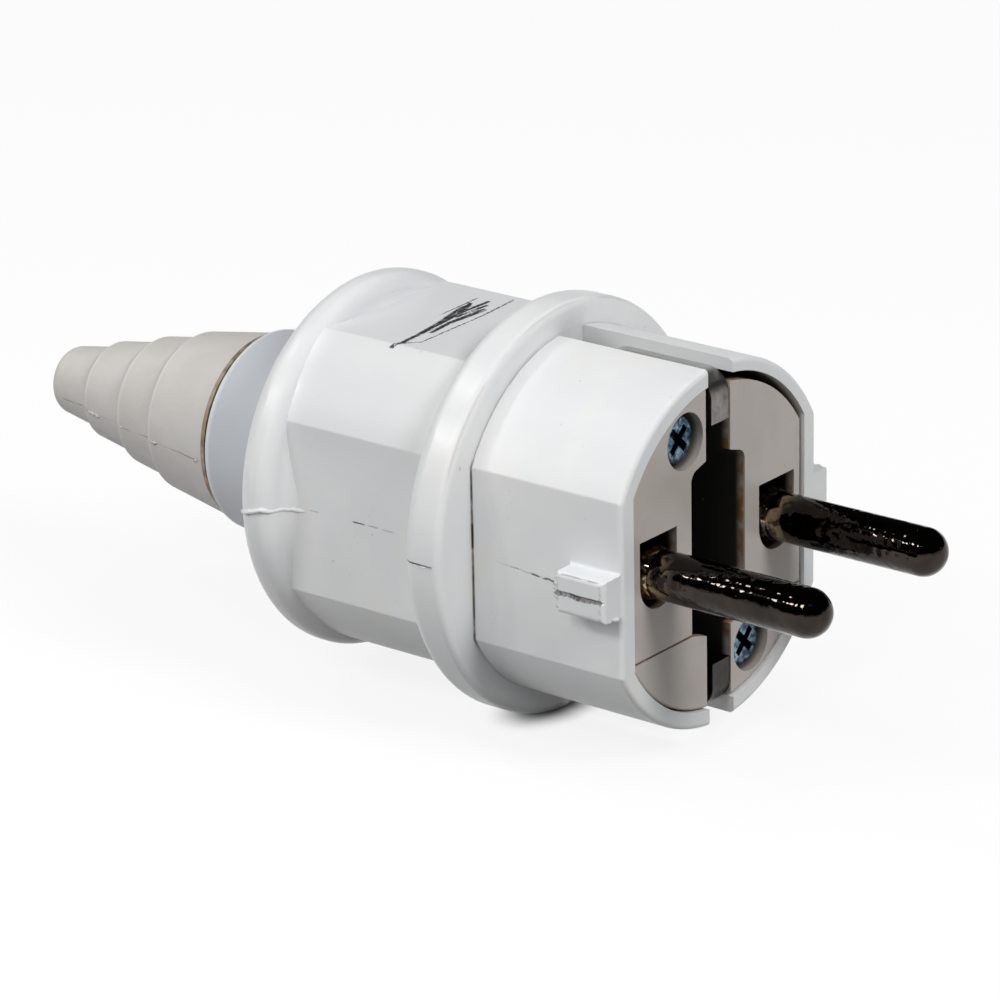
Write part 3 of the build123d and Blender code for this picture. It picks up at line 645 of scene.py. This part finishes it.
BURR_STEP, BURR_SUNK, BURR_END_LIFT, BURR_SHOULDER = 0.2, 0.3, 0.25, (0.5, 0.4)
BURR_RISE, BURR_LEAN = (0.35, 1.0), 0.4


def burr(name, points, outward, across, width, height, slot, seed):
    """Ragged sliver of flash that stands out from an edge through points."""
    chance = random.Random(seed)
    outward, across = Vector(outward).normalized(), Vector(across).normalized()
    places = along(points, BURR_STEP)
    rings = []
    for index, place in enumerate(places):
        ends = BURR_END_LIFT if index in (0, len(places) - 1) else 1.0
        lift = height * ends * chance.uniform(*BURR_RISE)
        lean = across * chance.uniform(-BURR_LEAN, BURR_LEAN) * width
        foot = place - outward * BURR_SUNK
        rings.append(ridge(place, foot, outward, across, width, lift, BURR_SHOULDER, lean))
    sweep(name, rings, slot)


REAR_RING_FLASH = ((-43.7, -0.4), (-43.0, -0.3), (-42.0, 0.0), (-41.2, 0.3), (-40.6, 0.1), (-40.0, -0.2),
                   (-39.0, -0.3), (-38.4, -0.3))
FRONT_RING_FLASH = ((-22.0, -0.16), (-18.2, -0.16))
NOSE_FLASH_X, NOSE_FLASH_RISE = (-9.4, -6.3), (0.5, 0.6)
NOSE_FLASH_STEP = 0.15
BOOT_FLASH = (
    ((-78.0, -0.7), (-77.3, -0.7)),
    ((-76.6, -0.8), (-74.6, -0.9)),
    ((-70.9, -0.8), (-70.1, -0.8)),
    ((-65.3, -0.8), (-64.0, -0.7)),
    ((-58.4, -0.9), (-57.6, -0.9)),
)
BOOT_FLASH_WIDTH, BOOT_FLASH_HEIGHT, BOOT_FLASH_SEED = 0.16, 0.16, 50
LUG_TIP, LUG_ROOT, LUG_HALF_HEIGHT = 18.1, 15.7, 2.05
LUG_FRONT_X, LUG_REAR_X, LUG_CREST_X = -0.45, -5.55, (-5.3, -0.8)


def add_shell_flash(side, word):
    """Flash on the rings and the nose of one side."""
    on_nose = [(x, rise * side) for x, rise in zip(NOSE_FLASH_X, NOSE_FLASH_RISE)]
    # Name, points of X and Z, half width, height, seed and step
    lines = (
        ("rear_ring", REAR_RING_FLASH, 0.26, 0.36, 21, FLASH_STEP),
        ("front_ring", FRONT_RING_FLASH, 0.08, 0.07, 31, FLASH_STEP),
        ("nose", on_nose, 0.10, 0.14, 41, NOSE_FLASH_STEP),
    )
    for place, points, half_width, height, seed, step in lines:
        flash_line(f"{place}_flash_{word}", "housing", side, points, half_width, height, "shell_plastic",
                   seed + side, step)


def add_boot_flash(side, word):
    """Blobs of flash on the boot's parting line of one side."""
    for index, points in enumerate(BOOT_FLASH, 1):
        flash_line(f"boot_flash_{word}_{index}", "cable_boot", side, points, BOOT_FLASH_WIDTH,
                   BOOT_FLASH_HEIGHT, "boot_rubber", BOOT_FLASH_SEED + 2 * index + side, FLASH_STEP)


def add_lug_burrs(side, word):
    """Slivers on the edges of one side's lug, each a little inside the edge that carries it."""
    tip, root, middle = side * LUG_TIP, side * LUG_ROOT, side * LUG_SHIFT
    top, foot = middle + LUG_HALF_HEIGHT, middle - LUG_HALF_HEIGHT
    front_tip, edge = tip - side * 0.3, tip - side * 0.25
    # Name, ends, outward, across, half width, height and seed
    burrs = (
        ("top", [(LUG_FRONT_X, y, top - 0.2) for y in (root, front_tip)],
         (0.8, 0, 0.6), (-0.6, 0, 0.8), 0.18, 0.5, 61),
        ("foot", [(LUG_FRONT_X, y, foot + 0.2) for y in (root, front_tip)],
         (0.9, 0, -0.45), (0.45, 0, 0.9), 0.22, 0.8, 71),
        ("rear", [(LUG_REAR_X, edge, z) for z in (top - 0.3, foot + 0.4)],
         (-0.8, side * 0.6, 0), (0.6, side * 0.8, 0), 0.18, 0.6, 81),
        ("crest", [(x, edge, top - 0.22) for x in LUG_CREST_X],
         (0, side * 0.7, 0.7), (0, side * 0.7, -0.7), 0.16, 0.4, 91),
    )
    for place, ends, outward, across, half_width, height, seed in burrs:
        burr(f"lug_{place}_burr_{word}", ends, outward, across, half_width, height, "shell_plastic",
             seed + side)


for side, word in ((-1, "left"), (1, "right")):
    add_shell_flash(side, word)
    add_boot_flash(side, word)
    add_lug_burrs(side, word)


# Floor, light and camera

FLOOR_REACH, FLOOR_DROP = 6.0, 0.0001
# Middle and stretch of the painted contact shadow under the front ring
CONTACT, CONTACT_FACTORS = (-20.0, -1.0, 0.0), (1.3, 0.8, 0.0)


def make_floor():
    """Pale floor: near white to the camera, dim in the light it gives back, with a painted contact shadow
    where the plug stands.
    """
    net = Surface("pale_floor")
    plain = net.mix(net.step(net.noise(0.004, 2), 0.3, 0.7), (0.21, 0.21, 0.21), (0.23, 0.23, 0.23))
    # Painted contact shadow: dark near the ring in the light the floor gives back, in its tint to the
    # camera and in its glow
    shadow_spot = net.distance(CONTACT, CONTACT_FACTORS)
    net.color = net.mix(net.step(shadow_spot, 5.0, 20.0), (0.02, 0.02, 0.02), plain)
    net.finish(0.9)
    glow = net.node("ShaderNodeEmission")
    pale = net.node("ShaderNodeBsdfDiffuse")
    tint = net.mix(net.step(shadow_spot, 1.5, 6.0), (0.05, 0.05, 0.05), (0.97, 0.97, 0.97))
    net.join(tint, pale.inputs["Color"])
    seen = net.choose(net.step(shadow_spot, 2.0, 7.0, 0.02, 0.86), pale.outputs[0], glow.outputs[0])
    path = net.node("ShaderNodeLightPath")
    direct = net.most(path.outputs["Is Camera Ray"], path.outputs["Is Glossy Ray"],
                      path.outputs["Is Transmission Ray"])
    shown = net.choose(direct, net.shader.outputs[0], seen)
    net.join(shown, net.tree.nodes["Material Output"].inputs["Surface"])
    mesh = bpy.data.meshes.new("floor")
    reach, level = FLOOR_REACH, cad_box[0].z - FLOOR_DROP
    mesh.from_pydata([(-reach, -reach, level), (reach, -reach, level), (reach, reach, level),
                      (-reach, reach, level)], [], [(0, 1, 2, 3)])
    floor = bpy.data.objects.new("floor", mesh)
    mesh.materials.append(net.material)
    bpy.context.scene.collection.objects.link(floor)


FILL_GLOW = (0.16, 0.56)
CEILING_Z, CEILING_GLOW = (0.02, 0.16), (1.0, 0.02)


def make_world():
    """Soft fill for the surfaces, pale behind the object, and a dim ceiling in what the metal reflects."""
    world = bpy.data.worlds.new("studio")
    bpy.context.scene.world = world
    world.use_nodes = True
    net = Net(world.node_tree)
    net.tree.nodes.clear()
    parts = net.node("ShaderNodeSeparateXYZ")
    net.join(net.node("ShaderNodeTexCoord").outputs["Generated"], parts.inputs[0])
    height = parts.outputs[2]
    path = net.node("ShaderNodeLightPath")
    mirrored = net.most(path.outputs["Is Glossy Ray"], path.outputs["Is Transmission Ray"])
    fill = net.ramp(height, 0.0, 1.0, *FILL_GLOW)
    lit = net.blend(mirrored, fill, net.step(height, *CEILING_Z, *CEILING_GLOW))
    glow = net.node("ShaderNodeBackground")
    net.join(net.blend(path.outputs["Is Camera Ray"], lit, 1.0), glow.inputs["Strength"])
    net.join(glow.outputs[0], net.node("ShaderNodeOutputWorld").inputs["Surface"])


WHITE, WARM = (1, 1, 1), (1.0, 0.95, 0.86)
LAMP_AIM = (-0.02, 0, 0)
# Name, direction from the aim, distance and size in metres, watts, shown in reflections, colour
LAMPS = (
    ("main", (0.0, -0.80, 0.60), 0.7, 0.4, 1.2, False, WHITE),
    ("front", (0.76, -0.08, 0.64), 0.8, 0.25, 3.3, False, WHITE),
    ("left", (-0.585, -0.584, 0.563), 0.6, 0.07, 0.36, True, WHITE),
    ("high", (-0.585, -0.218, 0.782), 0.6, 0.08, 0.30, True, WHITE),
    ("streak", (-0.42, -0.70, 0.65), 0.6, 0.07, 0.30, True, WHITE),
    ("spark", (0.10, -0.715, 0.66), 0.6, 0.07, 0.28, True, WARM),
)


def make_lamp(name, towards, distance, size, watts, mirrored, color):
    """Round area lamp that looks at the middle of the plug from the given direction."""
    light = bpy.data.lights.new(name, "AREA")
    light.shape = "DISK"
    light.size = size
    light.energy = watts
    light.color = color
    lamp = bpy.data.objects.new(name, light)
    direction = Vector(towards).normalized()
    lamp.location = Vector(LAMP_AIM) + direction * distance
    lamp.rotation_mode = "QUATERNION"
    lamp.rotation_quaternion = direction.to_track_quat("Z", "Y")
    lamp.visible_glossy = mirrored
    bpy.context.scene.collection.objects.link(lamp)


LENS, SENSOR_WIDTH = 180.72, 36.0
AZIMUTH, ELEVATION, ROLL = math.radians(38.64), math.radians(20.5), math.radians(-1.16)
CAMERA_BACK, CAMERA_LEFT, CAMERA_UP = 474.8, 20.91, 4.2
CLIP_START, CLIP_END = 0.01, 30.0


def make_camera():
    """Camera at the photograph's viewing angle, from the fit to the pins and the plug's axis."""
    data = bpy.data.cameras.new("camera")
    data.lens = LENS
    data.sensor_width = SENSOR_WIDTH
    data.clip_start, data.clip_end = CLIP_START, CLIP_END
    camera = bpy.data.objects.new("camera", data)
    back = Vector((math.sin(AZIMUTH) * math.cos(ELEVATION), -math.cos(AZIMUTH) * math.cos(ELEVATION),
                   math.sin(ELEVATION)))
    level = Vector((math.cos(AZIMUTH), math.sin(AZIMUTH), 0))
    upright = back.cross(level)
    right = level * math.cos(ROLL) + upright * math.sin(ROLL)
    up = upright * math.cos(ROLL) - level * math.sin(ROLL)
    turn = Matrix((right, up, back)).transposed()
    camera.rotation_mode = "QUATERNION"
    camera.rotation_quaternion = turn.to_quaternion()
    camera.location = (back * CAMERA_BACK - right * CAMERA_LEFT + up * CAMERA_UP) * MM
    bpy.context.scene.collection.objects.link(camera)
    bpy.context.scene.camera = camera


make_floor()
make_world()
for lamp_settings in LAMPS:
    make_lamp(*lamp_settings)
make_camera()
bpy.context.scene.view_settings.view_transform = "Standard"
